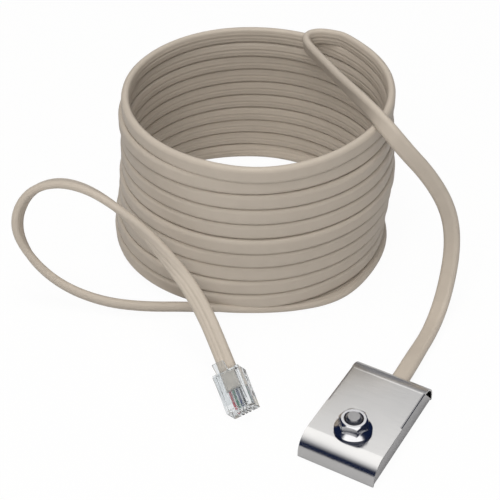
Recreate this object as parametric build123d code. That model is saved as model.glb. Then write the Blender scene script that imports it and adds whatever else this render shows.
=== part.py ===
from build123d import *
import math
import os

# Battery temperature sensor: a folded sheet-metal clip with a thermistor inside, on about
# three metres of flat four-conductor cord that is wound into a coil and ends in a clear
# modular plug. The origin is the bottom centre of the clip, +Y points along the clip to
# the end where the cord leaves it, and +Z is up. Lengths are in millimetres.

# Sheet-metal clip
sheet = 0.5
clip_length = 36.3
clip_width = 21.6
clip_height = 6.5
bend_radius = 5.2
fold_radius = 0.4
seam_gap = 0.1
bend_clearance = 0.35
tab_length = 14.4
tab_gap = 0.05
tab_round = 0.35
flap_end_slope = 50.0
overrun = 1.0

# Stud and flange nut that close the clip
stud_inset = 9.75
stud_diameter = 4.2
stud_base_diameter = 6.4
stud_base_height = 0.8
stud_base_chamfer = 0.2
stud_clearance = 0.15
stud_proud = 0.85
stud_chamfer = 0.2
nut_across_flats = 7.0
nut_height = 4.2
nut_turn = 9.0
nut_bore_gap = 0.02
nut_crown_diameter = 6.5
nut_crown_slope = 30.0
nut_mouth_chamfer = 0.5
flange_diameter = 10.0
flange_rim = 0.75
flange_rise = 0.8
flange_edge_chamfer = 0.2

# Flat cord
cord_width = 5.0
cord_thickness = 2.4
cord_edge_flat = 0.02
conductor_diameter = 0.9
conductor_pitch = 1.02
conductor_count = 4
tube_diameter = 3.6
exit_x = 1.5
exit_height = 3.4
exit_slot_gap = 0.25
jacket_inside_share = 0.22

# Thermistor and its wiring inside the clip. The shares divide the room between the end of
# the jacket and the bead, in the order in which the wires run.
splay_start_share = 0.10
splay_share = 0.20
sleeve_share = 0.42
lead_straight_share = 0.07
stub_share = 0.15
overlap_share = 0.27
splay_offset = 0.7
sleeve_diameter = 1.5
bore_gap = 0.03
lead_diameter = 0.4
lead_offset = 0.45
bead_diameter = 2.4
bead_length = 3.4
bead_tail_diameter = 1.7
bead_taper_length = 0.9
bead_cover = 0.6
potting_stud_gap = 0.3
potting_side_gap = 0.1
potting_top_gap = 0.2
potting_chamfer = 0.7
potting_clearance = 0.05

# Modular plug
plug_width = 7.65
plug_height = 6.6
plug_length = 11.3
plug_edge = 0.3
cable_axis_height = 2.9
wire_row_height = 2.2
cable_slot_gap = 0.2
mouth_flare = 0.4
jacket_depth = 5.0
cable_slot_depth = 5.7
wire_end = 0.9
contact_thickness = 0.35
contact_slot_gap = 0.05
contact_front = 0.5
contact_length = 3.0
contact_recess = 0.4
contact_bite = 0.35
contact_corner = 0.5
window_rear_gap = 1.3
window_length = 3.0
window_width = 5.2
bar_length = 1.3
bar_low = 0.7
bar_bite = 0.4
latch_root_front = 0.4
latch_root_length = 1.5
latch_thickness = 0.9
latch_shoulder_inset = 1.7
latch_shoulder_rise = 2.1
latch_overhang = 1.3
latch_tip_rise = 4.0
latch_width = 6.2
latch_tip_width = 3.2
latch_tip_round = 0.5
jacket_proud = 0.6

# Where the plug lies: on the left corner of its nose, held up by the stiff cord
plug_x = -28.7
plug_y = -12.9
plug_yaw = 51.7
plug_tilt = 22.8
plug_roll = -29.8
plug_lead_run = 7.0
clip_lead_run = 8.5

# Coil of turns that stand on edge, a little narrower at the top
coil_x = -68.6
coil_y = 59.4
coil_height = 52.6
coil_bottom_radius = 41.5
coil_top_radius = 40.3
coil_wall = 2.6

# Route of the lead from the clip to the coil: it runs back along the floor, climbs beside
# the coil, crosses its rim and meets the inside of the far wall.
sensor_route = [
    (-0.3, 37.0, 2.0), (-1.5, 47.5, 3.5), (-1.5, 54.5, 9.5),
    (-2.5, 59.5, 19.0), (-4.5, 61.5, 28.0), (-7.5, 62.0, 37.0), (-12.0, 60.5, 46.0),
    (-18.5, 56.0, 54.0), (-26.5, 56.5, 58.0), (-36.5, 63.0, 58.5), (-48.5, 73.5, 56.0),
    (-60.5, 85.5, 52.5), (-73.0, 98.0, 50.0),
]

# Route of the lead from the foot of the coil to the plug: out along the floor, up and round
# in one tall loop, and down again in front of the coil.
plug_route = [
    (-57.0, 20.9, 2.0), (-65.5, 14.5, 2.0), (-76.0, 8.5, 2.0), (-87.5, 4.0, 3.5),
    (-99.0, 0.5, 8.5), (-108.0, -1.5, 17.0), (-112.5, -1.5, 26.5), (-111.0, 3.5, 35.0),
    (-103.5, 8.0, 38.5), (-94.0, 9.0, 39.0), (-84.5, 9.0, 36.0), (-76.0, 9.8, 30.5),
    (-67.5, 9.3, 24.0), (-59.5, 7.4, 18.8), (-51.0, 2.5, 15.4),
]

# An arc of a lead takes this share of the shorter of its two runs.
arc_share = 0.45

# Values that follow from the sizes above
clip_end = clip_length / 2
stud_y = stud_inset - clip_end
tab_rear_y = clip_end - bend_radius - bend_clearance
potting_front_y = stud_y + stud_base_diameter / 2 + potting_stud_gap
jacket_end_y = clip_end - jacket_inside_share * clip_length
bead_rear_y = potting_front_y + bead_cover + bead_length
wiring_room = jacket_end_y - bead_rear_y
splay_start = splay_start_share * wiring_room
sleeve_rear_y = jacket_end_y - splay_start - splay_share * wiring_room
sleeve_front_y = sleeve_rear_y - sleeve_share * wiring_room
sleeve_step_y = sleeve_rear_y - overlap_share * sleeve_share * wiring_room
lead_straight = lead_straight_share * wiring_room
row_places = [(number - (conductor_count - 1) / 2) * conductor_pitch for number in range(conductor_count)]
colours = ["red", "green", "navy", "black"]
splices = {"left": (row_places[1] - splay_offset, -lead_offset), "right": (row_places[2] + splay_offset, lead_offset)}
plug_turn = Rot(0, 0, plug_yaw) * Rot(plug_tilt, 0, 0) * Rot(0, plug_roll, 0)
plug_rise = max((plug_turn * Pos(side * plug_width / 2, 0, 0)).position.Z for side in (-1, 1))
plug_place = Pos(plug_x, plug_y, plug_rise) * plug_turn
jacket_rear = plug_length + jacket_proud
jacket_end = plug_length - jacket_depth
cable_slot_end = plug_length - cable_slot_depth
window_front = plug_length - window_rear_gap - window_length
latch_shoulder = plug_length - latch_shoulder_inset
latch_tip = plug_length + latch_overhang


def arch(length, height, radius, width):
    """Block across the clip whose two upper edges are rounded over."""
    side = Pos(0, height / 2) * Rectangle(length, height)
    side = fillet(side.vertices().sort_by(Axis.Y)[-2:], radius)
    return extrude(Plane.YZ * side, amount=width / 2, both=True)


def flat_oval(width, thickness):
    """Section of the flat cord: two rounded edges and two flat faces."""
    section = Rectangle(width, thickness)
    return fillet(section.vertices(), (thickness - cord_edge_flat) / 2)


def bar(section, y_from, y_to, x, z):
    """A section that stands square to Y, drawn out between two places."""
    start = Plane(origin=(x, y_from, z), x_dir=(1, 0, 0), z_dir=(0, 1, 0))
    return extrude(start * section, amount=y_to - y_from)


def rod(diameter, y_from, y_to, x, z):
    return bar(Circle(diameter / 2), y_from, y_to, x, z)


def block(x, y_from, y_to, z_from, z_to, width):
    """Box across X that spans the given lengths along Y and Z."""
    middle = Pos(x, (y_from + y_to) / 2, (z_from + z_to) / 2)
    return middle * Box(width, y_to - y_from, z_to - z_from)


def bent_rod(points, diameter, radii):
    """A round wire along straight runs and arcs."""
    path = FilletPolyline(*points, radius=radii)
    start = Plane(origin=path @ 0, z_dir=path % 0)
    return sweep(start * Circle(diameter / 2), path=path), path


def arc_radii(points):
    """Largest radius that the two runs beside each corner leave room for."""
    radii = []
    corners = [Vector(*point) for point in points]
    for before, corner, after in zip(corners, corners[1:], corners[2:]):
        run_in = corner - before
        run_out = after - corner
        half_turn = math.radians(run_in.get_angle(run_out)) / 2
        radii.append(arc_share * min(run_in.length, run_out.length) / math.tan(half_turn))
    return radii


def make_cover():
    """Top plate whose two ends roll over and reach down to the surface."""
    body = arch(clip_length, clip_height, bend_radius, clip_width)
    body -= arch(clip_length - 2 * sheet, clip_height - sheet, bend_radius - sheet, clip_width + overrun)
    notch_width = 2 * (sheet + tab_gap)
    for side in (-1, 1):
        body -= block(
            side * clip_width / 2, tab_rear_y - tab_length, tab_rear_y,
            clip_height - sheet - overrun, clip_height + overrun, notch_width)
    body -= Pos(0, stud_y, clip_height) * Cylinder(stud_diameter / 2 + stud_clearance, 2 * sheet + overrun)
    slot_top = exit_height + cord_thickness / 2 + exit_slot_gap
    slot = Rectangle(cord_width + 2 * exit_slot_gap, 2 * slot_top)
    slot = fillet(slot.vertices(), cord_thickness / 2)
    body -= bar(slot, clip_end - bend_radius, clip_end + overrun, exit_x, 0)
    return body


def make_tray():
    """Channel under the cover: a floor and two side flaps, each with a tab and a sloped rear end."""
    body = arch(
        clip_length - 2 * (sheet + seam_gap), clip_height - sheet - seam_gap,
        bend_radius - sheet - seam_gap, clip_width)
    for side in (-1, 1):
        tab = block(
            side * (clip_width - sheet) / 2, tab_rear_y - tab_length + seam_gap, tab_rear_y - seam_gap,
            0, clip_height, sheet)
        outer_edges = tab.edges().filter_by(Axis.Y).group_by(Axis.Z)[-1].sort_by(Axis.X)
        body += fillet(outer_edges[-1 if side > 0 else 0], tab_round)
    slope_length = (clip_height - sheet) / math.tan(math.radians(flap_end_slope))
    above_slope = make_face(Polyline(
        (tab_rear_y, clip_height), (tab_rear_y + slope_length, sheet),
        (clip_end + slope_length, sheet), (clip_end + slope_length, clip_height), close=True))
    body -= extrude(Plane.YZ * above_slope, amount=clip_width, both=True)
    body = fillet(body.edges().filter_by(Axis.Y).group_by(Axis.Z)[0], fold_radius + sheet)
    trough = Rectangle(clip_width - 2 * sheet, 2 * clip_height)
    trough = fillet(trough.vertices(), fold_radius)
    return body - bar(trough, -clip_length, clip_length, 0, sheet + clip_height)


def make_stud():
    """Stud on a round base that is welded to the floor of the tray."""
    on_floor = (Align.CENTER, Align.CENTER, Align.MIN)
    base = Cylinder(stud_base_diameter / 2, stud_base_height, align=on_floor)
    base = chamfer(base.edges().group_by(Axis.Z)[-1], stud_base_chamfer)
    shank = Cylinder(stud_diameter / 2, clip_height - sheet + nut_height + stud_proud, align=on_floor)
    shank = chamfer(shank.edges().group_by(Axis.Z)[-1], stud_chamfer)
    return Pos(0, stud_y, sheet) * (base + shank)


def make_nut():
    """Hexagon nut with a round flange that slopes down to its rim."""
    on_plate = (Align.CENTER, Align.CENTER, Align.MIN)
    flat_radius = nut_across_flats / 2
    crown_radius = nut_crown_diameter / 2
    reach = flange_diameter / 2
    crown_drop = (reach - crown_radius) * math.tan(math.radians(nut_crown_slope))
    crown = make_face(Polyline(
        (0, 0), (reach, 0), (reach, nut_height - crown_drop),
        (crown_radius, nut_height), (0, nut_height), close=True))
    hexagon = extrude(RegularPolygon(flat_radius, 6, major_radius=False), amount=nut_height)
    hexagon &= revolve(Plane.XZ * crown, axis=Axis.Z)
    skirt = make_face(Polyline(
        (0, 0), (reach, 0), (reach, flange_rim),
        (flat_radius, flange_rim + flange_rise), (0, flange_rim + flange_rise), close=True))
    flange = revolve(Plane.XZ * skirt, axis=Axis.Z)
    rim = flange.edges().filter_by(GeomType.CIRCLE).sort_by(SortBy.RADIUS)[-2:]
    nut = hexagon + chamfer(rim, flange_edge_chamfer)
    bore_radius = stud_diameter / 2 + nut_bore_gap
    nut -= Cylinder(bore_radius, nut_height, align=on_plate)
    mouth = Cone(bore_radius, bore_radius + nut_mouth_chamfer, nut_mouth_chamfer, align=on_plate)
    nut -= Pos(0, 0, nut_height - nut_mouth_chamfer) * mouth
    return Pos(0, stud_y, clip_height) * Rot(0, 0, nut_turn) * nut


def make_clip_jacket():
    """End of the cord's jacket inside the clip."""
    return bar(flat_oval(cord_width, cord_thickness), jacket_end_y, clip_end, exit_x, exit_height)


def make_stub(place):
    """Unused conductor, cut off short where the jacket ends."""
    stub_end_y = jacket_end_y - stub_share * wiring_room
    return rod(conductor_diameter, stub_end_y, jacket_end_y, exit_x + place, exit_height)


def make_conductor(place, sleeve_place):
    """Insulated conductor that leaves the jacket and turns aside into its sleeve."""
    points = [
        (exit_x + place, jacket_end_y, exit_height),
        (exit_x + place, jacket_end_y - splay_start, exit_height),
        (exit_x + sleeve_place, sleeve_rear_y, exit_height),
        (exit_x + sleeve_place, sleeve_step_y, exit_height),
    ]
    return bent_rod(points, conductor_diameter, arc_radii(points))[0]


def make_sleeve(place):
    """Shrunk sleeve over one splice, wide over the insulation and narrow over the lead."""
    x = exit_x + place
    body = rod(sleeve_diameter, sleeve_front_y, sleeve_rear_y, x, exit_height)
    body -= rod(conductor_diameter + 2 * bore_gap, sleeve_step_y, sleeve_rear_y, x, exit_height)
    return body - rod(lead_diameter + 2 * bore_gap, sleeve_front_y, sleeve_step_y, x, exit_height)


def make_lead(place, bead_place):
    """Bare lead of the thermistor, from its splice to the bead."""
    points = [
        (exit_x + place, sleeve_step_y, exit_height),
        (exit_x + place, sleeve_front_y - lead_straight, exit_height),
        (exit_x + bead_place, bead_rear_y + lead_straight, exit_height),
        (exit_x + bead_place, bead_rear_y, exit_height),
    ]
    return bent_rod(points, lead_diameter, arc_radii(points))[0]


def make_bead():
    """Drop-shaped thermistor bead: round in front, tapered to a flat where its leads enter."""
    radius = bead_diameter / 2
    tail_radius = bead_tail_diameter / 2
    outline = Line((0, 0), (0, tail_radius)) + Line((0, tail_radius), (bead_taper_length, radius))
    outline += Line((bead_taper_length, radius), (bead_length - radius, radius))
    outline += RadiusArc((bead_length - radius, radius), (bead_length, 0), radius)
    outline += Line((bead_length, 0), (0, 0))
    drop = revolve(make_face(outline), axis=Axis.X)
    return Pos(exit_x, bead_rear_y, exit_height) * Rot(0, 0, -90) * drop


def make_potting():
    """Cast resin that fills the clip behind the stud, with room for the wiring in it."""
    low = sheet
    high = clip_height - sheet - potting_top_gap
    width = clip_width - 2 * (sheet + potting_side_gap)
    body = block(0, potting_front_y, tab_rear_y, low, high, width)
    body = chamfer(body.edges().filter_by(Axis.Y), potting_chamfer)
    grown = 2 * potting_clearance
    jacket_room = flat_oval(cord_width + grown, cord_thickness + grown)
    body -= bar(jacket_room, jacket_end_y - potting_clearance, clip_length, exit_x, exit_height)
    wiring_width = row_places[-1] - row_places[0] + 2 * splay_offset + sleeve_diameter
    wiring_room = flat_oval(wiring_width + grown, sleeve_diameter + grown)
    body -= bar(wiring_room, bead_rear_y - potting_clearance, jacket_end_y, exit_x, exit_height)
    bead_front = bead_rear_y - bead_length - potting_clearance
    return body - rod(bead_diameter + grown, bead_front, bead_rear_y, exit_x, exit_height)


def make_latch():
    """Springy latch that rises from the nose and ends in a narrower finger."""
    top = plug_height
    side = make_face(Polyline(
        (latch_root_front, top - plug_edge), (latch_root_front + latch_root_length, top - plug_edge),
        (latch_root_front + latch_root_length, top),
        (latch_shoulder, top + latch_shoulder_rise), (latch_tip, top + latch_tip_rise),
        (latch_tip - latch_thickness / 2, top + latch_tip_rise + latch_thickness),
        (latch_shoulder, top + latch_shoulder_rise + latch_thickness),
        (latch_root_front, top + latch_thickness), close=True))
    strip = extrude(Plane.YZ * side, amount=latch_width / 2, both=True)
    wide = Pos(0, latch_shoulder / 2) * Rectangle(latch_width, latch_shoulder)
    finger = Pos(0, latch_tip / 2) * Rectangle(latch_tip_width, latch_tip)
    finger = fillet(finger.vertices(), latch_tip_round)
    plan = extrude(wide + finger, amount=top + latch_tip_rise + 2 * latch_thickness)
    return strip & plan


def make_plug_body():
    """Clear plug: wire bores, contact slots, cable mouth, strain bar and latch."""
    body = block(0, 0, plug_length, 0, plug_height, plug_width)
    body = fillet(body.edges().filter_by(Axis.Y), plug_edge)
    body = chamfer(body.faces().sort_by(Axis.Y)[0].edges(), plug_edge / 2)
    body += make_latch()
    slot_grown = 2 * cable_slot_gap
    mouth = flat_oval(cord_width + slot_grown, cord_thickness + slot_grown)
    body -= bar(mouth, cable_slot_end, plug_length, 0, cable_axis_height)
    rim = body.faces().filter_by(Axis.Y).sort_by(Axis.Y)[-1].inner_wires()[0].edges()
    body = chamfer(rim, mouth_flare)
    bore_diameter = conductor_diameter + 2 * bore_gap
    slot_rear = contact_front + contact_length + contact_slot_gap
    for place in row_places:
        body -= rod(bore_diameter, wire_end, cable_slot_end, place, wire_row_height)
        body -= block(
            place, -overrun, slot_rear, -overrun, wire_row_height, contact_thickness + 2 * contact_slot_gap)
    jacket_low = cable_axis_height - cord_thickness / 2
    body -= block(0, window_front, window_front + window_length, -overrun, cable_axis_height, window_width)
    bar_front = window_front + (window_length - bar_length) / 2
    body += block(0, bar_front, bar_front + bar_length, bar_low, jacket_low + bar_bite, window_width)
    return body


def make_contact(place):
    """Blade of one contact, its foot pressed into the conductor above it."""
    blade = block(
        place, contact_front, contact_front + contact_length, contact_recess,
        wire_row_height - conductor_diameter / 2 + contact_bite, contact_thickness)
    front_edges = blade.edges().filter_by(Axis.X).group_by(Axis.Y)[0]
    return fillet(front_edges.sort_by(Axis.Z)[0], contact_corner)


def make_plug_wire(place):
    """Conductor from the end of the jacket to the nose, cut by its contact."""
    wire = rod(conductor_diameter, wire_end, jacket_end, place, wire_row_height)
    cut_top = wire_row_height - conductor_diameter / 2 + contact_bite + bore_gap
    return wire - block(
        place, 0, contact_front + contact_length + contact_slot_gap, 0, cut_top,
        contact_thickness + 2 * bore_gap)


def make_plug_jacket():
    """End of the cord's jacket in the plug, with the dent of the strain bar."""
    jacket = bar(flat_oval(cord_width, cord_thickness), jacket_end, jacket_rear, 0, cable_axis_height)
    dent_front = window_front + (window_length - bar_length) / 2 - bore_gap
    dent_top = cable_axis_height - cord_thickness / 2 + bar_bite + bore_gap
    return jacket - block(0, dent_front, dent_front + bar_length + 2 * bore_gap, 0, dent_top, 2 * cord_width)


def coil_core(wall):
    """Filled shape of the coil, smaller all round by the given wall."""
    cone = Cone(
        coil_bottom_radius - wall, coil_top_radius - wall, coil_height,
        align=(Align.CENTER, Align.CENTER, Align.MIN))
    return Pos(coil_x, coil_y, 0) * cone


def make_coil():
    """The wound turns as one closed ring."""
    return coil_core(0) - coil_core(coil_wall)


def make_lead_tube(name, points):
    """A lead of the cord as a round tube, with its radii and its volume printed."""
    radii = arc_radii(points)
    tube, path = bent_rod(points, tube_diameter, radii)
    expected = math.pi * tube_diameter ** 2 / 4 * path.length
    print(name, "radii", [round(radius, 1) for radius in radii])
    print(name, "length", round(path.length, 1), "volume over expected", round(tube.volume / expected, 4))
    return tube


def plug_point(y):
    return tuple((plug_place * Pos(0, y, cable_axis_height)).position)


def save(node, shape):
    export_step(shape, os.path.join("parts", node + ".step"))


os.makedirs("parts", exist_ok=True)

save("cover", make_cover())
save("base_tray", make_tray())
save("weld_stud", make_stud())
save("flange_nut", make_nut())

save("clip_jacket", make_clip_jacket())
save("clip_wire_" + colours[0], make_stub(row_places[0]))
save("clip_wire_" + colours[1], make_conductor(row_places[1], splices["left"][0]))
save("clip_wire_" + colours[2], make_conductor(row_places[2], splices["right"][0]))
save("clip_wire_" + colours[3], make_stub(row_places[3]))
for side, (sleeve_place, bead_place) in splices.items():
    save("splice_sleeve_" + side, make_sleeve(sleeve_place))
    save("thermistor_lead_" + side, make_lead(sleeve_place, bead_place))
save("thermistor_bead", make_bead())
save("potting_block", make_potting())

save("plug_body", plug_place * make_plug_body())
save("plug_jacket", plug_place * make_plug_jacket())
for number, place in enumerate(row_places):
    save("plug_contact_" + str(number + 1), plug_place * make_contact(place))
    save("plug_wire_" + colours[number], plug_place * make_plug_wire(place))

coil = make_coil()
save("cord_coil", coil)
sensor_points = [(exit_x, clip_end, exit_height), (exit_x, clip_end + clip_lead_run, exit_height)]
sensor_points += sensor_route
save("cord_lead_sensor", make_lead_tube("sensor lead", sensor_points) - coil)
plug_points = plug_route + [plug_point(jacket_rear + plug_lead_run), plug_point(jacket_rear)]
save("cord_lead_plug", make_lead_tube("plug lead", plug_points) - coil_core(0))
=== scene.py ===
import bmesh
import bpy
import math
import random
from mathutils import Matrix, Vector


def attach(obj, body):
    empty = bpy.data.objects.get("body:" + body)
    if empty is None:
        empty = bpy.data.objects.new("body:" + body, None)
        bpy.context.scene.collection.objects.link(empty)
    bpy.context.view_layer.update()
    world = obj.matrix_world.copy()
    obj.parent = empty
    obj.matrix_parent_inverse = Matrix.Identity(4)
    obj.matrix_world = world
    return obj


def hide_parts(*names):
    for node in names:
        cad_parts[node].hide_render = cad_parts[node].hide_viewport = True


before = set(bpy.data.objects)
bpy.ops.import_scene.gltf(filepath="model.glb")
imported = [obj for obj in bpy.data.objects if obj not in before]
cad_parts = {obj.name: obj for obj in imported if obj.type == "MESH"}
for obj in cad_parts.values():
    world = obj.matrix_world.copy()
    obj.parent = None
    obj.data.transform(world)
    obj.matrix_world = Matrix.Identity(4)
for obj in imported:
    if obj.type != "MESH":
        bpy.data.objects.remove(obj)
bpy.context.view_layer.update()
random.seed(11)

# Everything is in metres, in the part's own frame: the origin is under the middle of the
# clip, +Y points to the end where the cord leaves it, and +Z is up.
MM = 0.001

# Places nearer than NEAR are taken as one, and a direction whose share along an axis is above
# ALIGNED as running along it.
NEAR = 0.05 * MM
ALIGNED = 0.9

# Camera
CAMERA_PLACE = (0.0954, -0.2266, 0.2545)
CAMERA_AIM = (-0.0640, 0.0495, 0.0)
CAMERA_LENS_MM = 95.2
CAMERA_SENSOR_MM = 36.0
CAMERA_CLIP_START = 0.01

# Flat cord
CORD_WIDTH = 0.0050
CORD_THICKNESS = 0.0024
CORD_EXIT = (0.0015, 0.01815, 0.0034)
CORD_CONDUCTORS = 4
CORD_GROOVE = 0.16 * MM
CORD_GROOVE_NARROWNESS = 4
CORD_FACE_STEPS = 14
CORD_EDGE_STEPS = 6
CORD_STEPS_PER_POINT = 7
CORD_UV_PER_METRE = 10.0

# Route of the lead from inside the clip to the coil, up beside it, over its rim and round
# in a narrow hairpin on the far side.
CLIP_LEAD = [
    (0.0015, 0.0102, 0.0034), CORD_EXIT, (0.0012, 0.0245, 0.0033),
    (0.0006, 0.0315, 0.0024), (0.0002, 0.0400, 0.0021), (-0.0008, 0.0490, 0.0038),
    (-0.0014, 0.0545, 0.0100), (-0.0025, 0.0590, 0.0180), (-0.0045, 0.0610, 0.0260),
    (-0.0076, 0.0605, 0.0337), (-0.0124, 0.0582, 0.0420), (-0.0178, 0.0556, 0.0488),
    (-0.0238, 0.0550, 0.0548), (-0.0330, 0.0606, 0.0566), (-0.0465, 0.0718, 0.0542),
    (-0.0560, 0.0803, 0.0526), (-0.0632, 0.0862, 0.0516), (-0.0672, 0.0895, 0.0515),
    (-0.0687, 0.0930, 0.0515), (-0.0664, 0.0960, 0.0516), (-0.0615, 0.0972, 0.0517),
]

# Direction of the cord's wide axis at some of those points, by their place in the list.
CLIP_LEAD_WIDE = {
    0: (1.0, 0.0, 0.0), 2: (1.0, 0.0, 0.05), 3: (0.95, 0.0, 0.25), 4: (0.92, 0.0, 0.36),
    6: (0.95, -0.15, 0.20), 7: (0.97, -0.20, 0.05), 8: (0.97, 0.0, 0.20), 9: (0.92, 0.20, 0.35),
    10: (0.80, 0.35, 0.45), 11: (0.55, 0.38, 0.68), 12: (0.24, 0.38, 0.90), 13: (0.0, 0.0, 1.0),
    14: (-0.15, -0.18, 0.97), 15: (-0.20, -0.25, 0.95), 17: (-0.10, -0.12, 0.98), 20: (0.0, 0.0, 1.0),
}

# Route of the lead from the foot of the coil: out along the floor, up and round in one tall
# loop, and down to the plug.
PLUG_LEAD = [
    (-0.0307, 0.0415, 0.0013), (-0.0398, 0.0315, 0.0015), (-0.0518, 0.0218, 0.0022),
    (-0.0642, 0.0148, 0.0030), (-0.0757, 0.0080, 0.0030), (-0.0873, 0.0036, 0.0033),
    (-0.0990, 0.0005, 0.0067), (-0.1080, -0.0015, 0.0148), (-0.1121, -0.0015, 0.0254),
    (-0.1106, 0.0035, 0.0338), (-0.1040, 0.0080, 0.0374), (-0.0945, 0.0090, 0.0384),
    (-0.0845, 0.0090, 0.0360), (-0.0760, 0.0098, 0.0305), (-0.0675, 0.0093, 0.0240),
    (-0.0595, 0.0074, 0.0188), (-0.0510, 0.0025, 0.0154), (-0.0428, -0.0036, 0.0114),
    (-0.0374, -0.0078, 0.0087),
]

# The same directions for this lead: those with a name first, then each by its place in the list.
STEEPER = (0.27, -0.50, 0.82)
FLATTER = (0.12, -0.95, 0.31)
ALONG_VIEW = (0.391, -0.677, 0.624)
PLUG_WIDE = (0.69, 0.56, 0.46)
PLUG_LEAD_WIDE = {
    0: (0.88, -0.47, 0.0), 1: (0.70, -0.70, 0.10), 3: STEEPER, 7: STEEPER, 9: FLATTER, 10: FLATTER,
    12: ALONG_VIEW, 13: (0.60, -0.35, 0.72), 14: (0.72, 0.15, 0.68), 15: PLUG_WIDE, 18: PLUG_WIDE,
}

# Coil, wound clockwise as seen from above and from the top down. Each row gives the turn,
# then the outer radius, the centre of the turns there and how far the cord has sunk, or has
# been lifted where the number is below zero.
COIL_TABLE = [
    (0.00, 0.0388, -0.0671, 0.0601, 0.0007), (0.10, 0.0390, -0.0671, 0.0601, 0.0006),
    (0.18, 0.0393, -0.0671, 0.0601, 0.0002), (0.30, 0.0406, -0.0674, 0.0599, 0.0004),
    (0.42, 0.0426, -0.0676, 0.0598, 0.0009), (0.52, 0.0406, -0.0677, 0.0597, 0.0005),
    (0.65, 0.0392, -0.0678, 0.0596, 0.0), (0.93, 0.0394, -0.0676, 0.0594, 0.0),
    (1.25, 0.0402, -0.0674, 0.0589, 0.0), (1.60, 0.0404, -0.0674, 0.0588, 0.0),
    (2.05, 0.0398, -0.0673, 0.0589, 0.0), (2.28, 0.0407, -0.0672, 0.0590, 0.0),
    (2.55, 0.0402, -0.0671, 0.0590, 0.0), (3.40, 0.0408, -0.0670, 0.0594, 0.0),
    (4.40, 0.0408, -0.0670, 0.0595, 0.0), (5.40, 0.0415, -0.0672, 0.0594, 0.0),
    (6.40, 0.0413, -0.0678, 0.0592, 0.0), (7.40, 0.0413, -0.0682, 0.0592, 0.0),
    (7.76, 0.0414, -0.0685, 0.0591, -0.00012), (8.40, 0.0416, -0.0690, 0.0589, -0.00005),
    (8.76, 0.0417, -0.0692, 0.0589, -0.00030), (8.95, 0.0418, -0.0693, 0.0589, -0.00002),
    (9.40, 0.0419, -0.0695, 0.0588, -0.00005), (9.76, 0.0417, -0.0696, 0.0588, -0.00038),
    (9.93, 0.0416, -0.0696, 0.0588, -0.00020), (10.4, 0.0440, -0.0698, 0.0589, 0.0),
]
COIL_TOP = 0.05263
COIL_PITCH = 0.00504
COIL_START = math.radians(95.0)
COIL_FIRST_TURN = 0.055
COIL_LAST_TURN = 10.28
COIL_LAYS_DOWN_TURN = 9.90
COIL_FLAT_TURN = 10.14
COIL_FLAT_INSET = 0.0012
COIL_POINTS_PER_TURN = 16
COIL_WANDER = 0.12 * MM
COIL_LEAN = 0.05
FLOOR_GAP = 0.05 * MM

# Clip, with the line that the press left beside its rear bend
SHEET = 0.0005
CLIP_LENGTH = 0.0363
CLIP_WIDTH = 0.0216
CLIP_HEIGHT = 0.0065
BEND_RADIUS = 0.0052
BEND_STEPS = 18
PRESSED_LINE = 0.01225
PRESSED_HALF = 0.00022
PRESSED_DEPTH = 0.00004
SLOT_GAP = 0.00025
SLOT_CORNER_STEPS = 8
TAB_NOTCH = 0.00055
TAB_REAR_Y = 0.0126
TAB_LENGTH = 0.0144
COVER_ROUNDING = 0.09 * MM

# Stud and nut
STUD_Y = -0.0084
STUD_HOLE_RADIUS = 0.00225
STUD_RADIUS = 0.0021
STUD_TOP = 0.01155
STUD_BASE_RADIUS = 0.0032
STUD_BASE_HEIGHT = 0.0008
STUD_CHAMFER = 0.0002
STUD_ROUNDING = 0.03 * MM
THREAD_DEPTH = 0.00028
THREAD_PITCH = 0.0007
THREAD_SLOPE_SHARE = 0.45
THREAD_CREST_SHARE = 0.10
THREADS = 6
NUT_TURN = math.radians(39.0)
NUT_HEIGHT = 0.0042
NUT_FLAT_RADIUS = 0.0035
NUT_ROUNDING = 0.10 * MM
CROWN_RADIUS = 0.00325
CROWN_SLOPE = math.radians(30.0)
FLANGE_RADIUS = 0.0050
FLANGE_RIM = 0.00075
FLANGE_RISE = 0.0008
FLANGE_DISH = 0.0001
BORE_RADIUS = 0.00212
MOUTH_FLARE = 0.0005
DISC_CORNERS = 96
SMOOTH_ANGLE = math.radians(32.0)

# Finishes
JACKET_DARK = (0.44, 0.388, 0.328)
JACKET_LIGHT = (0.56, 0.497, 0.428)
STEEL = (0.80, 0.80, 0.80)
TRAY_STEEL = (0.58, 0.58, 0.59)
ZINC_DARK = (0.66, 0.67, 0.70)
ZINC_LIGHT = (0.82, 0.82, 0.84)
CLEAR_DARK = (0.74, 0.77, 0.78)
CLEAR_LIGHT = (0.88, 0.89, 0.90)

# How much each sheet's grain is squeezed along X, Y and Z.
GRAIN_ALONG_X = (6.0, 60.0, 60.0)
GRAIN_ALONG_Y = (60.0, 6.0, 60.0)

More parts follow.
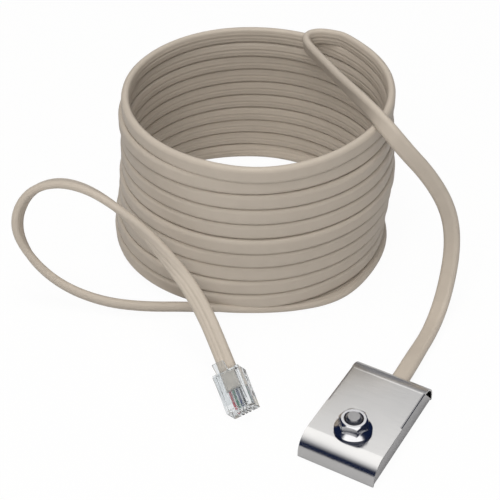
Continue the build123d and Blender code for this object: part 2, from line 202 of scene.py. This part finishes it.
# Small parts of one colour, each with its roughness and its metallic value.
PLAIN_FINISHES = {
    "stud_metal": ((0.50, 0.50, 0.51), 0.32, 1.0),
    "contact_metal": ((0.80, 0.62, 0.30), 0.25, 1.0),
    "tinned_wire": ((0.70, 0.70, 0.70), 0.30, 1.0),
    "resin": ((0.03, 0.03, 0.033), 0.55, 0.0),
    "bead_epoxy": ((0.02, 0.02, 0.02), 0.25, 0.0),
    "sleeve_black": ((0.02, 0.02, 0.02), 0.5, 0.0),
    "wire_red": ((0.42, 0.005, 0.035), 0.35, 0.0),
    "wire_green": ((0.0, 0.14, 0.08), 0.35, 0.0),
    "wire_navy": ((0.012, 0.03, 0.10), 0.35, 0.0),
    "wire_black": ((0.008, 0.008, 0.010), 0.35, 0.0),
}
NODE_FINISHES = {
    "base_tray": "tray_steel",
    "plug_body": "clear_plastic",
    "plug_jacket": "cord_jacket",
    "potting_block": "resin",
    "thermistor_bead": "bead_epoxy",
    "splice_sleeve_left": "sleeve_black",
    "splice_sleeve_right": "sleeve_black",
    "thermistor_lead_left": "tinned_wire",
    "thermistor_lead_right": "tinned_wire",
}
WIRE_COLOURS = ("red", "green", "navy", "black")
PLUG_CONTACTS = 4

# Light. Two directions lie level in the photo's view: across it, and away from the camera.
ACROSS_VIEW = (0.866, 0.5, 0.0)
AWAY = (-0.5, 0.866, 0.0)
WHITE = (1.0, 1.0, 1.0, 1.0)
STUDIO_WHITE = (1.0, 0.985, 0.965)
STUDIO_DARK = (0.004, 0.009, 0.032)
STUDIO_CARD = (0.12, 0.12, 0.13)
STUDIO_STRENGTH = 1.3
PLAIN_LIGHT = (1.0, 0.99, 0.97, 1.0)
PLAIN_STRENGTH = 0.33
FLOOR_SIZE = 6.0
FLOOR_TONE = (0.85, 0.85, 0.85)
FLOOR_TONE_IN_METAL = (0.54, 0.54, 0.55)
FLOOR_WHITENED = 0.95

# Square lamps: each has its name, place, aim, side and power.
LAMP_COLOUR = (1.0, 0.98, 0.95)
LAMPS = [
    ("front", (0.10, -0.45, 0.62), (-0.05, 0.05, 0.0), 0.45, 2.8),
    ("overhead", (-0.10, 0.02, 0.75), (-0.06, 0.05, 0.0), 0.35, 2.3),
]


class Wire:
    """An output of a shader node that can stand in sums, each of which adds a Math node."""

    def __init__(self, finish, output):
        self.finish = finish
        self.output = output

    def maths(self, operation, first, second):
        return self.finish.node("ShaderNodeMath", {"operation": operation}, {0: first, 1: second})

    def __add__(self, other):
        return self.maths("ADD", self, other)

    def __radd__(self, other):
        return self.maths("ADD", other, self)

    def __sub__(self, other):
        return self.maths("SUBTRACT", self, other)

    def __rsub__(self, other):
        return self.maths("SUBTRACT", other, self)

    def __mul__(self, other):
        return self.maths("MULTIPLY", self, other)

    def __rmul__(self, other):
        return self.maths("MULTIPLY", other, self)

    def size(self):
        """The value without its sign."""
        return self.maths("ABSOLUTE", self, 0.0)


class Finish:
    """The nodes of a material or of the world while they are made."""

    def __init__(self, owner):
        owner.use_nodes = True
        self.tree = owner.node_tree
        self.tree.nodes.clear()

    def node(self, kind, settings=None, sockets=None, take=0):
        """One node with its settings, the values or links of its sockets, and the output asked for."""
        made = self.tree.nodes.new(kind)
        for name, value in (settings or {}).items():
            if name == "stops":
                ramp = made.color_ramp
                while len(ramp.elements) < len(value):
                    ramp.elements.new(0.5)
                for element, (place, colour) in zip(ramp.elements, value):
                    element.position = place
                    element.color = (*colour, 1.0)
            else:
                setattr(made, name, value)
        for name, value in (sockets or {}).items():
            if isinstance(value, Wire):
                self.tree.links.new(value.output, made.inputs[name])
            else:
                made.inputs[name].default_value = value
        return Wire(self, made.outputs[take]) if made.outputs else None

    def coordinates(self, kind):
        return self.node("ShaderNodeTexCoord", take=kind)

    def ray(self, kind):
        """What the light path says about the ray, such as whether the camera sends it."""
        return self.node("ShaderNodeLightPath", take=kind)

    def along(self, place, direction):
        """How far a place or a direction goes along the given one."""
        return self.node(
            "ShaderNodeVectorMath", {"operation": "DOT_PRODUCT"}, {0: place, 1: direction}, take="Value")

    def ramp(self, value, stops):
        """A value between 0 and 1 that follows the given stops."""
        greys = [(place, (level, level, level)) for place, level in stops]
        return self.node("ShaderNodeValToRGB", {"stops": greys}, {0: value})

    def noise(self, place, scale, detail=2.0, roughness=0.5):
        return self.node(
            "ShaderNodeTexNoise", {},
            {"Vector": place, "Scale": scale, "Detail": detail, "Roughness": roughness})

    def stretched(self, place, scale):
        """Coordinates scaled by three factors, for grain that runs one way."""
        return self.node("ShaderNodeMapping", {}, {"Vector": place, "Scale": scale})

    def between(self, mask, low, high):
        """A number from low to high as the mask goes from 0 to 1."""
        return low + (high - low) * mask

    def blend(self, mask, first, second):
        """A colour from the first to the second as the mask goes from 0 to 1."""
        # The node's colours are its inputs 6 and 7 and its output 2.
        return self.node(
            "ShaderNodeMix", {"data_type": "RGBA"},
            {0: mask, 6: (*first, 1.0) if isinstance(first, tuple) else first,
             7: (*second, 1.0) if isinstance(second, tuple) else second}, take=2)

    def bump(self, height, strength, distance):
        return self.node(
            "ShaderNodeBump", {}, {"Height": height, "Strength": strength, "Distance": distance})

    def surface(self, sockets):
        """Ends a material in one surface with the given sockets."""
        surface = self.node("ShaderNodeBsdfPrincipled", {}, sockets)
        self.node("ShaderNodeOutputMaterial", {}, {"Surface": surface})


def new_finish(name):
    material = bpy.data.materials.new(name)
    return material, Finish(material)


def jacket_finish():
    """Warm beige cord jacket, satin, with faint streaks along it."""
    material, finish = new_finish("cord_jacket")
    place = finish.coordinates("UV")
    body = finish.coordinates("Object")
    streaks = finish.noise(finish.stretched(place, (0.02, 60.0, 1.0)), scale=8.0, detail=3.0)
    mottle = finish.noise(body, scale=260.0, detail=4.0)
    grain = finish.noise(body, scale=2600.0, detail=3.0)
    finish.surface({
        "Base Color": finish.blend(0.6 * streaks + 0.4 * mottle, JACKET_DARK, JACKET_LIGHT),
        "Roughness": finish.between(mottle, low=0.40, high=0.52),
        "Specular IOR Level": 0.45,
        "Normal": finish.bump(0.6 * grain + 0.4 * streaks, strength=0.12, distance=0.00012),
    })
    return material


def sheet_finish(name, squeeze, base):
    """Plated sheet with drawn grain, which runs along the axis that is squeezed least."""
    material, finish = new_finish(name)
    body = finish.coordinates("Object")
    grain = finish.noise(finish.stretched(body, squeeze), scale=14.0, detail=6.0, roughness=0.65)
    finer = tuple(3.0 * factor for factor in squeeze)
    fine = finish.noise(finish.stretched(body, finer), scale=21.0, detail=4.0)
    cloud = finish.noise(body, scale=110.0, detail=3.0)
    lines = 0.6 * grain + 0.4 * fine
    darker = tuple(0.80 * channel for channel in base)
    finish.surface({
        "Base Color": finish.blend(0.5 * lines + 0.5 * cloud, darker, base),
        "Metallic": 1.0,
        "Roughness": finish.between(lines, low=0.14, high=0.26),
        "Normal": finish.bump(lines, strength=0.16, distance=0.00005),
    })
    return material


def zinc_finish():
    """Bright plate on the nut."""
    material, finish = new_finish("nut_zinc")
    body = finish.coordinates("Object")
    cloud = finish.noise(body, scale=420.0, detail=4.0)
    marks = finish.noise(body, scale=2400.0, detail=3.0)
    finish.surface({
        "Base Color": finish.blend(cloud, ZINC_DARK, ZINC_LIGHT),
        "Metallic": 1.0,
        "Roughness": finish.between(marks, low=0.10, high=0.20),
        "Normal": finish.bump(0.5 * marks + 0.5 * cloud, strength=0.10, distance=0.00006),
    })
    return material


def clear_finish():
    """Clear plug plastic with a faint surface ripple."""
    material, finish = new_finish("clear_plastic")
    ripple = finish.noise(finish.coordinates("Object"), scale=520.0, detail=3.0)
    finish.surface({
        "Base Color": finish.blend(ripple, CLEAR_DARK, CLEAR_LIGHT),
        "Roughness": finish.between(ripple, low=0.03, high=0.09),
        "Transmission Weight": 0.97,
        "IOR": 1.45,
        "Normal": finish.bump(ripple, strength=0.10, distance=0.0001),
    })
    return material


def plain_finish(name):
    """Small part of one colour, with a little mottling in its tone and its gloss."""
    colour, roughness, metallic = PLAIN_FINISHES[name]
    material, finish = new_finish(name)
    mottle = finish.noise(finish.coordinates("Object"), scale=900.0, detail=3.0)
    darker = tuple(0.82 * channel for channel in colour)
    finish.surface({
        "Base Color": finish.blend(mottle, darker, colour),
        "Metallic": metallic,
        "Roughness": finish.between(mottle, low=0.85 * roughness, high=1.15 * roughness),
        "Normal": finish.bump(mottle, strength=0.08, distance=0.00005),
    })
    return material


def make_finishes():
    """Every material of the part, by the name that it is asked for."""
    made = {
        "cord_jacket": jacket_finish(),
        "clip_steel": sheet_finish("clip_steel", GRAIN_ALONG_X, STEEL),
        "tray_steel": sheet_finish("tray_steel", GRAIN_ALONG_Y, TRAY_STEEL),
        "nut_zinc": zinc_finish(),
        "clear_plastic": clear_finish(),
    }
    for name in PLAIN_FINISHES:
        made[name] = plain_finish(name)
    return made


def aim_at(holder, place, aim):
    """Puts a camera or a lamp at a place, turned to look at another."""
    holder.location = place
    holder.rotation_euler = (Vector(aim) - Vector(place)).to_track_quat("-Z", "Y").to_euler()


def place_camera():
    camera = bpy.data.cameras.new("camera")
    camera.lens = CAMERA_LENS_MM
    camera.sensor_width = CAMERA_SENSOR_MM
    camera.clip_start = CAMERA_CLIP_START
    holder = bpy.data.objects.new("camera", camera)
    bpy.context.collection.objects.link(holder)
    aim_at(holder, CAMERA_PLACE, CAMERA_AIM)
    bpy.context.scene.camera = holder


def coil_at(turn):
    """Outer radius, centre and sinking of the coil at a turn, between the rows of its table."""
    for low, high in zip(COIL_TABLE, COIL_TABLE[1:]):
        if turn <= high[0]:
            share = max(0.0, (turn - low[0]) / (high[0] - low[0]))
            return [start + share * (end - start) for start, end in zip(low[1:], high[1:])]
    return COIL_TABLE[-1][1:]


def coil_route():
    """Points of the wound turns and the direction of the wide axis at each."""
    points = []
    wides = []
    wound = COIL_LAST_TURN - COIL_FIRST_TURN
    steps = round(wound * COIL_POINTS_PER_TURN)
    # A control point stands outside the curve that it draws by this factor.
    spread = 1.0 / (0.75 + 0.25 * math.cos(2 * math.pi / COIL_POINTS_PER_TURN))
    wander = [random.uniform(-1.0, 1.0) for step in range(steps + 2)]
    for step in range(steps + 1):
        turn = COIL_FIRST_TURN + wound * step / steps
        outer_radius, centre_x, centre_y, sunk = coil_at(turn)
        angle = COIL_START - 2 * math.pi * turn
        lying = (turn - COIL_LAYS_DOWN_TURN) / (COIL_FLAT_TURN - COIL_LAYS_DOWN_TURN)
        lying = min(1.0, max(0.0, lying))
        tilt = lying * math.pi / 2
        height = (CORD_WIDTH * math.cos(tilt) + CORD_THICKNESS * math.sin(tilt)) / 2 + FLOOR_GAP
        if lying == 0.0:
            height = max(COIL_TOP - COIL_PITCH * turn - sunk, height)
        radius = outer_radius - CORD_THICKNESS / 2 - lying * COIL_FLAT_INSET
        radius = spread * (radius + COIL_WANDER * wander[step])
        across = Vector((math.cos(angle), math.sin(angle), 0.0))
        points.append(Vector((centre_x, centre_y, height)) + radius * across)
        lean = COIL_LEAN * wander[step + 1] * (1.0 - lying)
        wides.append(Vector((0.0, 0.0, 1.0)) * math.cos(tilt) + across * (math.sin(tilt) + lean))
    return points, wides


def filled_in(count, known):
    """Directions for every point of a lead, between the ones that are known."""
    places = sorted(known)
    found = []
    for place in range(count):
        before = max(p for p in places if p <= place)
        after = min(p for p in places if p >= place)
        share = 0.0 if after == before else (place - before) / (after - before)
        found.append(Vector(known[before]).lerp(Vector(known[after]), share))
    return found


def smooth_path(name, points):
    """The points that a smooth spline runs through, with the given points as its controls."""
    curve = bpy.data.curves.new(name, "CURVE")
    curve.dimensions = "3D"
    spline = curve.splines.new("NURBS")
    spline.points.add(len(points) - 1)
    for held, point in zip(spline.points, points):
        held.co = (*point, 1.0)
    spline.order_u = 3
    spline.use_endpoint_u = True
    spline.resolution_u = CORD_STEPS_PER_POINT
    guide = bpy.data.objects.new(name, curve)
    bpy.context.collection.objects.link(guide)
    line = bpy.data.meshes.new_from_object(guide)
    path = [vertex.co.copy() for vertex in line.vertices]
    bpy.data.objects.remove(guide)
    bpy.data.curves.remove(curve)
    bpy.data.meshes.remove(line)
    return path


def cord_section():
    """Outline of the flat cord: one face smooth, the other grooved between its four conductors."""
    radius = CORD_THICKNESS / 2
    reach = CORD_WIDTH / 2 - radius
    outline = []
    for side in (1, -1):
        for step in range(CORD_FACE_STEPS):
            across = side * reach * (2 * step / CORD_FACE_STEPS - 1)
            lane = CORD_CONDUCTORS * (across / CORD_WIDTH + 0.5)
            groove = CORD_GROOVE * abs(math.cos(math.pi * lane)) ** CORD_GROOVE_NARROWNESS
            dip = groove if side < 0 else 0.0
            outline.append((across, -side * (radius - dip)))
        for step in range(CORD_EDGE_STEPS):
            turn = math.pi * (step / CORD_EDGE_STEPS - 0.5)
            outline.append((side * (reach + radius * math.cos(turn)), side * radius * math.sin(turn)))
    return outline


def sweep_cord(name, path, wides, section):
    """A closed ribbon of the given section along a path, turned to the wide axis at each point."""
    tangents = []
    for number in range(len(path)):
        ahead = path[min(number + 1, len(path) - 1)]
        behind = path[max(number - 1, 0)]
        tangents.append((ahead - behind).normalized())
    lengths = [0.0]
    for before, after in zip(path, path[1:]):
        lengths.append(lengths[-1] + (after - before).length)
    vertices = []
    for number, (place, tangent) in enumerate(zip(path, tangents)):
        # Where two spans of the spline meet it lies halfway between two controls, and so does its axis.
        step = number / (len(path) - 1) * (len(wides) - 2) + 0.5
        low = int(step)
        wide = wides[low].lerp(wides[low + 1], step - low)
        wide = (wide - wide.dot(tangent) * tangent).normalized()
        flat = tangent.cross(wide)
        vertices += [place + across * wide + out * flat for across, out in section]
    ring = len(section)
    faces = []
    for number in range(len(path) - 1):
        for corner in range(ring):
            after = (corner + 1) % ring
            low = number * ring
            faces.append((low + corner, low + after, low + ring + after, low + ring + corner))
    faces.append(tuple(reversed(range(ring))))
    faces.append(tuple(range((len(path) - 1) * ring, len(path) * ring)))
    mesh = bpy.data.meshes.new(name)
    mesh.from_pydata(vertices, [], faces)
    layer = mesh.uv_layers.new(name="along")
    for polygon in mesh.polygons:
        held = [mesh.loops[loop].vertex_index for loop in polygon.loop_indices]
        closes = ring - 1 in [vertex % ring for vertex in held]
        for loop, vertex in zip(polygon.loop_indices, held):
            number, corner = divmod(vertex, ring)
            if corner == 0 and closes:
                corner = ring
            layer.data[loop].uv = (lengths[number] * CORD_UV_PER_METRE, corner / ring)
    mesh.polygons.foreach_set("use_smooth", [len(polygon.vertices) == 4 for polygon in mesh.polygons])
    mesh.update()
    ribbon = bpy.data.objects.new(name, mesh)
    bpy.context.collection.objects.link(ribbon)
    return ribbon


def make_cord():
    """The whole cord as one ribbon, from inside the clip to inside the plug."""
    turns, turn_wides = coil_route()
    points = [Vector(point) for point in CLIP_LEAD] + turns + [Vector(point) for point in PLUG_LEAD]
    wides = filled_in(len(CLIP_LEAD), CLIP_LEAD_WIDE) + turn_wides
    wides += filled_in(len(PLUG_LEAD), PLUG_LEAD_WIDE)
    path = smooth_path("cord_route", points)
    ribbon = sweep_cord("cord", path, wides, cord_section())
    ribbon.data.materials.append(finishes["cord_jacket"])
    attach(ribbon, "root")
    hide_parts("clip_jacket", "cord_lead_sensor", "cord_coil", "cord_lead_plug")


def pick(piece, faces=None, edges=None):
    """In edit mode, selects the faces or the edges that the given test accepts."""
    bpy.context.view_layer.objects.active = piece
    bpy.ops.object.mode_set(mode="EDIT")
    bpy.ops.mesh.select_mode(type="FACE" if faces else "EDGE")
    bpy.ops.mesh.select_all(action="DESELECT")
    held = bmesh.from_edit_mesh(piece.data)
    if faces:
        for face in held.faces:
            face.select = faces(face.calc_center_median(), face.normal)
    else:
        for edge in held.edges:
            first, second = (vertex.co for vertex in edge.verts)
            edge.select = edges((first + second) / 2, (second - first).normalized())
    held.select_flush_mode()
    bmesh.update_edit_mesh(piece.data)


def start_block(name, low, high):
    """A block between two corners, with its place in its mesh."""
    bpy.ops.object.select_all(action="DESELECT")
    middle = (Vector(low) + Vector(high)) / 2
    bpy.ops.mesh.primitive_cube_add(size=1.0, location=middle, scale=Vector(high) - Vector(low))
    return settle(name)


def start_disc(name, radius, low, high, corners=DISC_CORNERS, turn=0.0):
    """An upright disc or prism about the stud's axis, with its place in its mesh."""
    bpy.ops.object.select_all(action="DESELECT")
    bpy.ops.mesh.primitive_cylinder_add(
        vertices=corners, radius=radius, depth=high - low, location=(0.0, STUD_Y, (low + high) / 2),
        rotation=(0.0, 0.0, turn))
    return settle(name)


def settle(name):
    piece = bpy.context.object
    piece.name = name
    bpy.ops.object.transform_apply(location=True, rotation=True, scale=True)
    return piece


def raise_top(piece, rise, share):
    """Draws the top of a disc upwards, scaled about the stud's axis."""
    top = max(vertex.co.z for vertex in piece.data.vertices)
    pick(piece, faces=lambda middle, normal: (middle - Vector((0.0, STUD_Y, top))).length < NEAR)
    bpy.ops.mesh.extrude_region_move(TRANSFORM_OT_translate={"value": (0.0, 0.0, rise)})
    bpy.ops.transform.resize(value=(share, share, 1.0), center_override=(0.0, STUD_Y, top + rise))
    bpy.ops.object.mode_set(mode="OBJECT")


def combine(piece, tool, operation):
    """Joins, cuts or trims a piece with a tool, which is then thrown away."""
    bpy.ops.object.select_all(action="DESELECT")
    bpy.context.view_layer.objects.active = piece
    joint = piece.modifiers.new("combine", "BOOLEAN")
    joint.operation = operation
    joint.solver = "EXACT"
    joint.object = tool
    bpy.ops.object.modifier_apply(modifier=joint.name)
    bpy.data.objects.remove(tool)


def soften(piece, width, segments, angle):
    """Fine rounding of the edges that are sharper than the angle, and smooth shading."""
    bpy.ops.object.select_all(action="DESELECT")
    bpy.context.view_layer.objects.active = piece
    piece.select_set(True)
    rounding = piece.modifiers.new("rounding", "BEVEL")
    rounding.width = width
    rounding.segments = segments
    rounding.limit_method = "ANGLE"
    rounding.angle_limit = math.radians(angle)
    rounding.use_clamp_overlap = True
    bpy.ops.object.modifier_apply(modifier=rounding.name)
    bpy.ops.object.shade_smooth_by_angle(angle=SMOOTH_ANGLE)
    shading = piece.modifiers.new("shading", "WEIGHTED_NORMAL")
    shading.keep_sharp = True
    bpy.ops.object.modifier_apply(modifier=shading.name)


def make_cover():
    """Cover of the clip: one sheet with rolled ends, a pressed line and its cut-outs."""
    rear = CLIP_LENGTH / 2
    edge = CLIP_WIDTH / 2
    cover = start_block("clip_cover", (-edge, -rear, 0.0), (edge, rear, CLIP_HEIGHT))
    pick(cover, faces=lambda middle, normal: normal.z < -ALIGNED or abs(normal.x) > ALIGNED)
    bpy.ops.mesh.delete(type="FACE")
    bpy.ops.object.mode_set(mode="OBJECT")
    pick(cover, edges=lambda middle, run: abs(run.x) > ALIGNED and middle.z > CLIP_HEIGHT - NEAR)
    bpy.ops.mesh.bevel(offset=BEND_RADIUS, segments=BEND_STEPS, affect="EDGES")
    for y in (PRESSED_LINE - PRESSED_HALF, PRESSED_LINE, PRESSED_LINE + PRESSED_HALF):
        bpy.ops.mesh.select_all(action="SELECT")
        bpy.ops.mesh.bisect(plane_co=(0.0, y, 0.0), plane_no=(0.0, 1.0, 0.0))
    bpy.ops.object.mode_set(mode="OBJECT")
    pick(cover, edges=lambda middle, run: abs(run.x) > ALIGNED and abs(middle.y - PRESSED_LINE) < NEAR)
    bpy.ops.transform.translate(value=(0.0, 0.0, -PRESSED_DEPTH))
    bpy.ops.object.mode_set(mode="OBJECT")
    wall = cover.modifiers.new("wall", "SOLIDIFY")
    wall.thickness = SHEET
    wall.offset = -1.0
    bpy.ops.object.modifier_apply(modifier=wall.name)
    slot_side = CORD_WIDTH / 2 + SLOT_GAP
    slot_top = CORD_EXIT[2] + CORD_THICKNESS / 2 + SLOT_GAP
    slot = start_block("cord_slot", (CORD_EXIT[0] - slot_side, rear - BEND_RADIUS, -slot_top),
                       (CORD_EXIT[0] + slot_side, rear + SHEET, slot_top))
    pick(slot, edges=lambda middle, run: abs(run.y) > ALIGNED)
    bpy.ops.mesh.bevel(offset=CORD_THICKNESS / 2, segments=SLOT_CORNER_STEPS, affect="EDGES")
    bpy.ops.object.mode_set(mode="OBJECT")
    combine(cover, slot, "DIFFERENCE")
    below = CLIP_HEIGHT - 3 * SHEET
    above = CLIP_HEIGHT + SHEET
    for side in (-1, 1):
        notch = start_block("tab_notch", (side * edge - TAB_NOTCH, TAB_REAR_Y - TAB_LENGTH, below),
                            (side * edge + TAB_NOTCH, TAB_REAR_Y, above))
        combine(cover, notch, "DIFFERENCE")
    combine(cover, start_disc("stud_hole", STUD_HOLE_RADIUS, below, above), "DIFFERENCE")
    soften(cover, COVER_ROUNDING, segments=2, angle=35.0)
    return cover


def make_nut():
    """Hexagon nut with a trimmed crown, a round flange and a bore with a flared mouth."""
    low = CLIP_HEIGHT
    high = low + NUT_HEIGHT
    corner_radius = NUT_FLAT_RADIUS / math.cos(math.pi / 6)
    nut = start_disc("nut", corner_radius, low + FLANGE_RIM / 2, high, corners=6, turn=NUT_TURN)
    drop = (FLANGE_RADIUS - CROWN_RADIUS) * math.tan(CROWN_SLOPE)
    crown = start_disc("crown", FLANGE_RADIUS, low, high - drop)
    raise_top(crown, drop, CROWN_RADIUS / FLANGE_RADIUS)
    combine(nut, crown, "INTERSECT")
    halfway = (FLANGE_RADIUS + NUT_FLAT_RADIUS) / 2 - FLANGE_DISH
    flange = start_disc("flange", FLANGE_RADIUS, low, low + FLANGE_RIM)
    raise_top(flange, FLANGE_RISE / 2, halfway / FLANGE_RADIUS)
    raise_top(flange, FLANGE_RISE / 2, NUT_FLAT_RADIUS / halfway)
    combine(nut, flange, "UNION")
    bore = start_disc("bore", BORE_RADIUS, low - SHEET, high - MOUTH_FLARE)
    raise_top(bore, MOUTH_FLARE, 1.0 + MOUTH_FLARE / BORE_RADIUS)
    raise_top(bore, SHEET, 1.0)
    combine(nut, bore, "DIFFERENCE")
    soften(nut, NUT_ROUNDING, segments=3, angle=25.0)
    return nut


def make_stud():
    """Weld stud: a round base, a plain shank and a threaded end with a chamfer."""
    stud = start_disc("stud", STUD_BASE_RADIUS, SHEET, SHEET + STUD_BASE_HEIGHT - STUD_CHAMFER)
    raise_top(stud, STUD_CHAMFER, 1.0 - STUD_CHAMFER / STUD_BASE_RADIUS)
    shank_radius = STUD_RADIUS - THREAD_DEPTH
    raise_top(stud, 0.0, shank_radius / (STUD_BASE_RADIUS - STUD_CHAMFER))
    thread_start = STUD_TOP - STUD_CHAMFER - THREADS * THREAD_PITCH
    raise_top(stud, thread_start - SHEET - STUD_BASE_HEIGHT, 1.0)
    for thread in range(THREADS):
        raise_top(stud, THREAD_SLOPE_SHARE * THREAD_PITCH, STUD_RADIUS / shank_radius)
        raise_top(stud, THREAD_CREST_SHARE * THREAD_PITCH, 1.0)
        raise_top(stud, THREAD_SLOPE_SHARE * THREAD_PITCH, shank_radius / STUD_RADIUS)
    raise_top(stud, STUD_CHAMFER, 1.0 - STUD_CHAMFER / shank_radius)
    soften(stud, STUD_ROUNDING, segments=2, angle=30.0)
    return stud


def make_clip():
    for make, node, slot, finish in (
            (make_cover, "cover", "clip_steel", "clip_steel"),
            (make_nut, "flange_nut", "nut_zinc", "nut_zinc"),
            (make_stud, "weld_stud", "nut_zinc", "stud_metal")):
        piece = make()
        piece.data.materials.append(finishes[finish])
        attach(piece, "root")
        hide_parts(node)


def dress_nodes():
    """The finishes of the CAD nodes that no piece of the scene replaces."""
    wanted = dict(NODE_FINISHES)
    for colour in WIRE_COLOURS:
        wanted["clip_wire_" + colour] = "wire_" + colour
        wanted["plug_wire_" + colour] = "wire_" + colour
    for number in range(PLUG_CONTACTS):
        wanted["plug_contact_" + str(number + 1)] = "contact_metal"
    for node, finish in wanted.items():
        held = bpy.data.objects[node]
        held.data.materials.clear()
        held.data.materials.append(finishes[finish])
    # Light passes through the clear plug to the wires.
    bpy.data.objects["plug_body"].visible_shadow = False


def make_floor():
    """A floor that the camera sees as white, with only a breath of shadow on it."""
    bpy.ops.mesh.primitive_plane_add(size=FLOOR_SIZE, location=(0.0, 0.0, -FLOOR_GAP))
    floor = bpy.context.object
    floor.name = "floor"
    material, finish = new_finish("floor_white")
    lit = finish.node("ShaderNodeBsdfDiffuse", {}, {
        "Color": finish.blend(finish.ray("Is Glossy Ray"), FLOOR_TONE, FLOOR_TONE_IN_METAL)})
    white = finish.node("ShaderNodeEmission", {}, {"Color": WHITE, "Strength": 1.0})
    seen = FLOOR_WHITENED * finish.ray("Is Camera Ray")
    through = FLOOR_WHITENED * finish.ray("Is Transmission Ray")
    surface = finish.node("ShaderNodeMixShader", {}, {0: seen + through, 1: lit, 2: white})
    finish.node("ShaderNodeOutputMaterial", {}, {"Surface": surface})
    floor.data.materials.append(material)


def light_world():
    """White for the camera, a plain soft light, and a studio for what the metal reflects.

    The studio is bright above and behind, and dark at the sides and towards the camera, with a
    faint card behind. It dims after a second reflection, as between the nut and the cover.
    """
    world = bpy.data.worlds.new("studio")
    bpy.context.scene.world = world
    finish = Finish(world)
    direction = finish.coordinates("Generated")
    side = finish.along(direction, ACROSS_VIEW).size()
    behind = finish.along(direction, AWAY)
    height = finish.along(direction, (0.0, 0.0, 1.0))
    card = finish.ramp(behind - 0.9 * side, [(0.45, 0.0), (0.75, 1.0)])
    above = finish.ramp(height + 0.35 * behind, [(0.22, 0.0), (0.40, 0.30), (0.60, 0.75), (0.80, 1.0)])
    wings = finish.ramp(side * (1.5 + behind), [(0.62, 1.0), (0.78, 0.0)])
    rear = finish.ramp(height - 0.3 * behind, [(0.44, 0.15), (0.475, 0.28), (0.503, 0.62), (0.525, 1.0)])
    first = finish.ramp(2.0 - finish.ray("Glossy Depth"), [(0.0, 0.12), (1.0, 1.0)])
    dark = finish.blend(card, STUDIO_DARK, STUDIO_CARD)
    studio = finish.blend(above * wings * rear * first, dark, STUDIO_WHITE)
    around = finish.node("ShaderNodeBackground", {}, {"Color": studio, "Strength": STUDIO_STRENGTH})
    plain = finish.node("ShaderNodeBackground", {}, {"Color": PLAIN_LIGHT, "Strength": PLAIN_STRENGTH})
    white = finish.node("ShaderNodeBackground", {}, {"Color": WHITE, "Strength": 1.0})
    lit = finish.node("ShaderNodeMixShader", {}, {0: finish.ray("Is Glossy Ray"), 1: plain, 2: around})
    seen = finish.ray("Is Camera Ray") + finish.ray("Is Transmission Ray")
    surface = finish.node("ShaderNodeMixShader", {}, {0: seen, 1: lit, 2: white})
    finish.node("ShaderNodeOutputWorld", {}, {"Surface": surface})


def add_lamp(name, place, aim, side, power):
    """A square lamp that lights the part but shows in no reflection and through no plastic."""
    lamp = bpy.data.lights.new(name, "AREA")
    lamp.size = side
    lamp.energy = power
    lamp.color = LAMP_COLOUR
    holder = bpy.data.objects.new(name, lamp)
    bpy.context.collection.objects.link(holder)
    aim_at(holder, place, aim)
    holder.visible_glossy = False
    holder.visible_transmission = False


finishes = make_finishes()
bpy.ops.object.select_all(action="DESELECT")
place_camera()
make_cord()
make_clip()
dress_nodes()
make_floor()
light_world()
for lamp_row in LAMPS:
    add_lamp(*lamp_row)
bpy.context.scene.view_settings.view_transform = "Standard"
